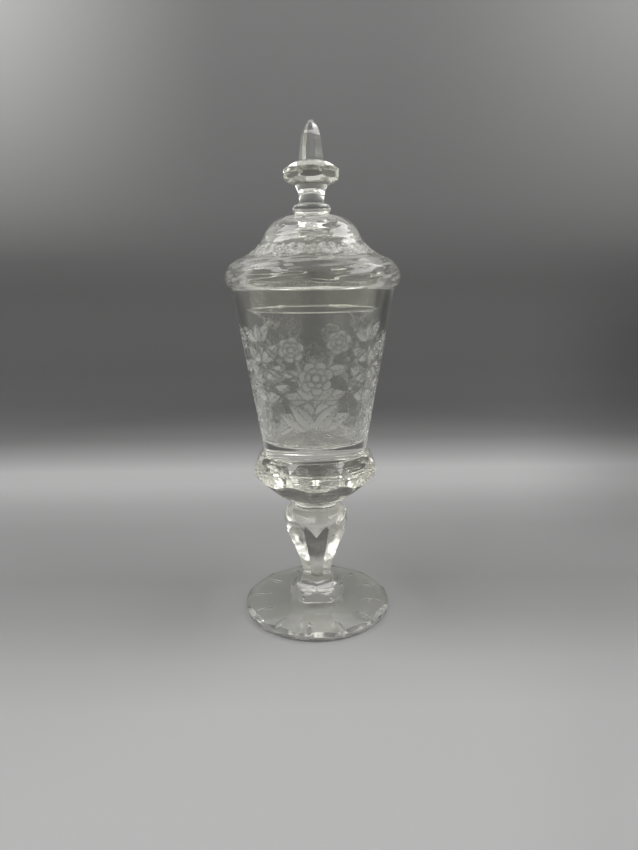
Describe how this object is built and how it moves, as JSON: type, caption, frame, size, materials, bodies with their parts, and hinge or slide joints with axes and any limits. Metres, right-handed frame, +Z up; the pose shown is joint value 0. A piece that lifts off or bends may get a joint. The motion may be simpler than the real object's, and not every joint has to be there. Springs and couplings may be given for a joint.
{
  "type": "covered goblet",
  "caption": "Covered glass goblet with a cut foot, six-sided baluster stem, faceted knop, tapering engraved bowl and a loose domed cover with a pointed finial.",
  "frame": {"origin": "centre of the foot's underside, on the table", "axes": "+Z up along the axis of the stem, -Y towards the front that the picture shows, +X to its right"},
  "size_m": [0.1038, 0.1038, 0.2994],
  "materials": {
    "clear_glass": "fire polished",
    "cut_glass": "wheel cut and polished",
    "engraved_glass": "polished with matt wheel engraving"
  },
  "bodies": {
    "goblet": {"foot": "cut_glass", "stem_base": "cut_glass", "stem_baluster": "cut_glass", "stem_neck": "clear_glass", "bowl_knop": "cut_glass", "bowl": "engraved_glass"},
    "cover": {"cover_dome": "engraved_glass", "cover_inner_rim": "clear_glass", "finial_collar": "clear_glass", "finial_neck": "clear_glass", "finial_knop": "cut_glass", "finial_spire": "cut_glass"}
  },
  "joints": [
    {"name": "cover_lift", "type": "slide", "parent": "goblet", "child": "cover", "axis": [0, 0, 1], "range_m": [0, 0.08]}
  ]
}
